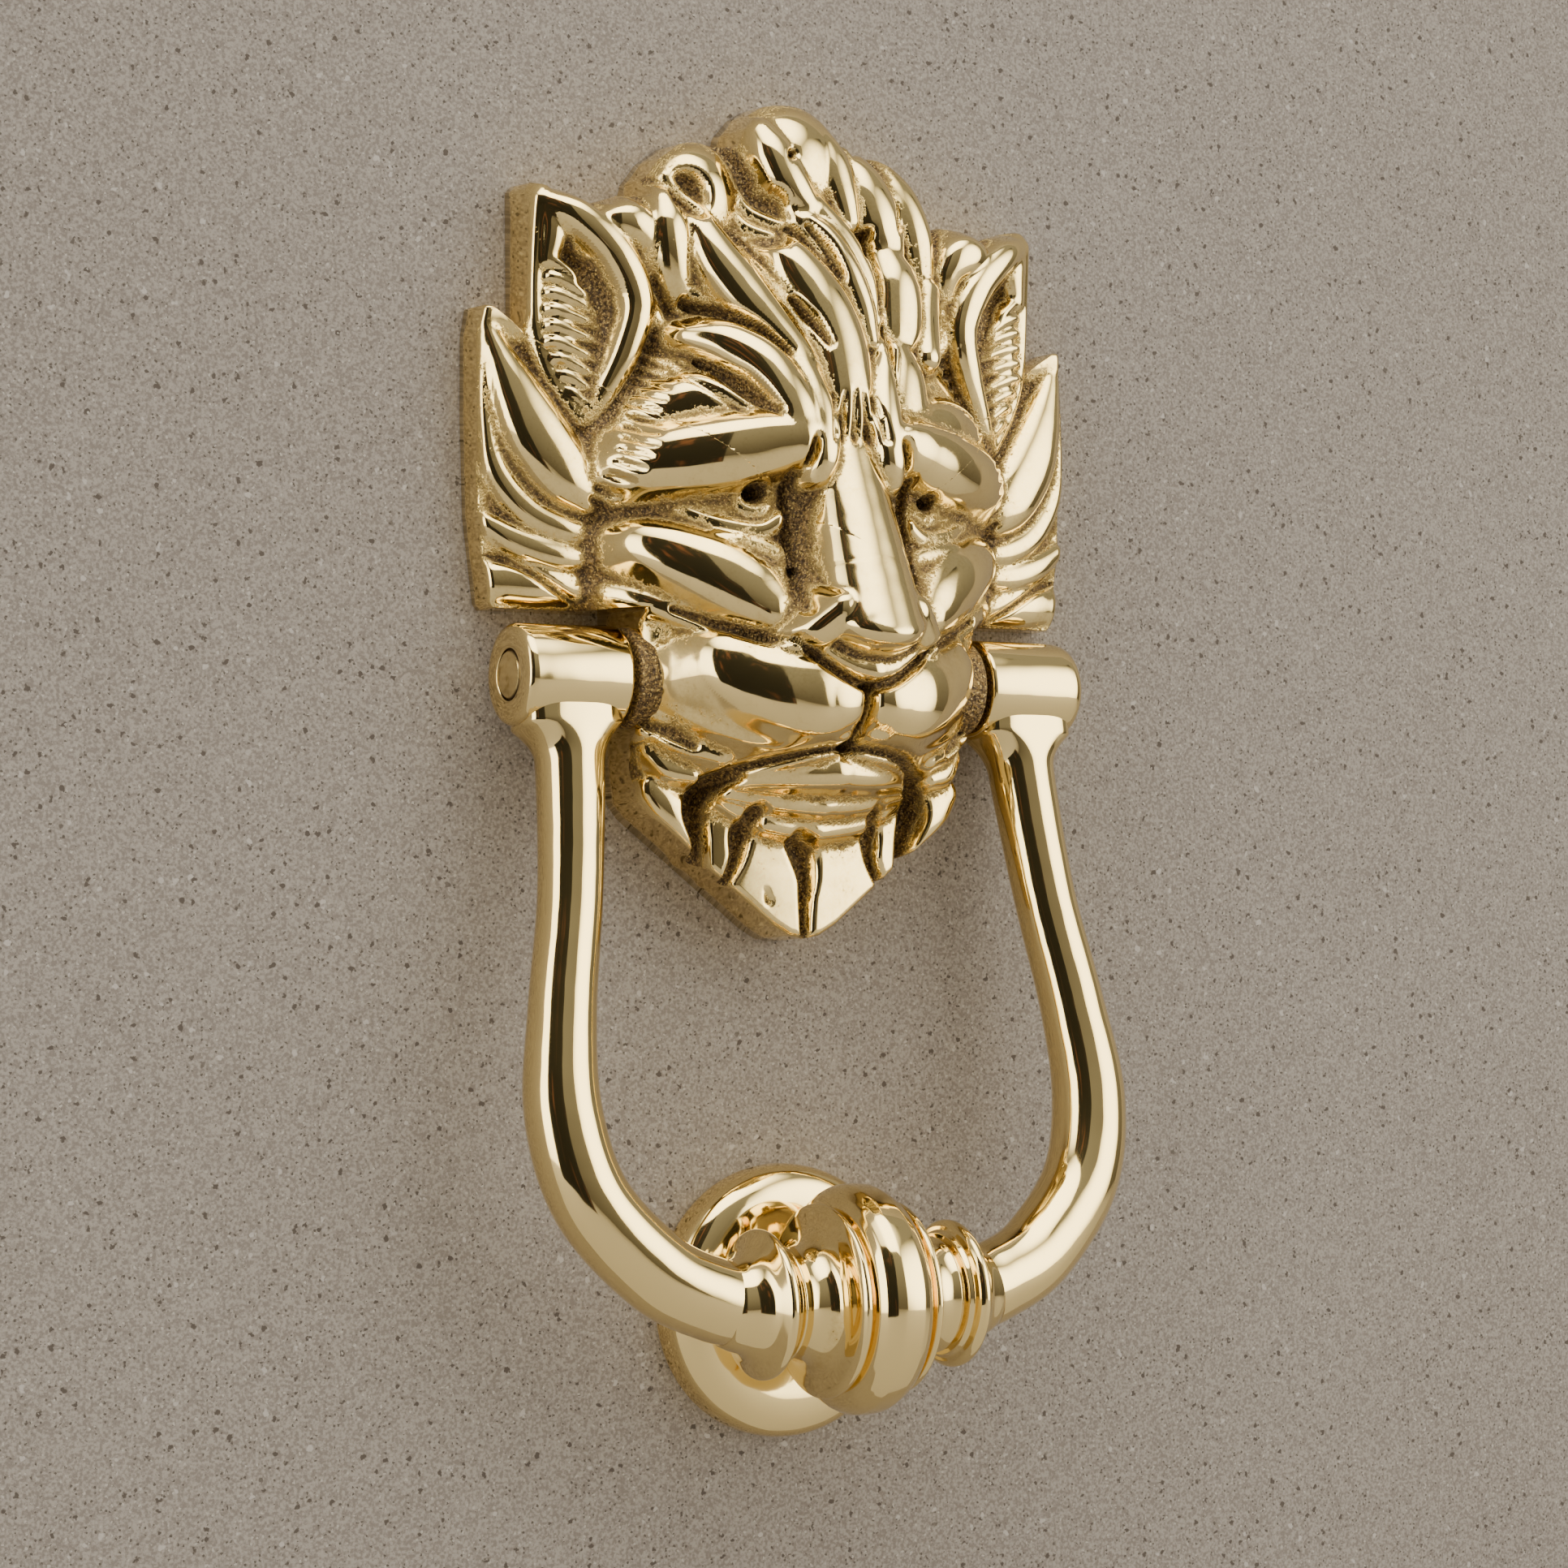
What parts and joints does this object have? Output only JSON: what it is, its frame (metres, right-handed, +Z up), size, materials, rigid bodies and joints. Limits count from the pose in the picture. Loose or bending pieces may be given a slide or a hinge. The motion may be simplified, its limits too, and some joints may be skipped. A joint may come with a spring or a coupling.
{
  "type": "lion mask door knocker",
  "caption": "Cast brass lion mask that holds a hinged U-shaped bail, which swings out and strikes a round button fixed to the door below.",
  "frame": {"origin": "on the door's face, on the centreline of the mask, level with the hinge axis of the bail", "axes": "+X to the right of a person facing the door, +Z up, -Y out of the door towards that person"},
  "size_m": [0.0968, 0.0986, 0.19],
  "materials": {
    "mask_brass": "mirror polished on the high parts, dark patina in the recesses",
    "bail_brass": "mirror polished",
    "strike_brass": "mirror polished",
    "pin_brass": "turned and polished",
    "fixing_steel": "zinc plated",
    "nut_brass": "polished"
  },
  "bodies": {
    "mask": {"lion_mask": "mask_brass", "strike_plate": "strike_brass", "hinge_pin_right": "pin_brass", "hinge_pin_left": "pin_brass", "mask_stud_upper": "fixing_steel", "washer_upper": "fixing_steel", "dome_nut_upper": "nut_brass", "mask_stud_lower": "fixing_steel", "washer_lower": "fixing_steel", "dome_nut_lower": "nut_brass", "strike_stud": "fixing_steel", "washer_strike": "fixing_steel", "dome_nut_strike": "nut_brass"},
    "bail": {"knocker_bail": "bail_brass"}
  },
  "joints": [
    {"name": "bail_hinge", "type": "hinge", "parent": "mask", "child": "bail", "pos_m": [0, -0.0081, 0], "axis": [-1, 0, 0], "range_deg": [0, 140]}
  ]
}
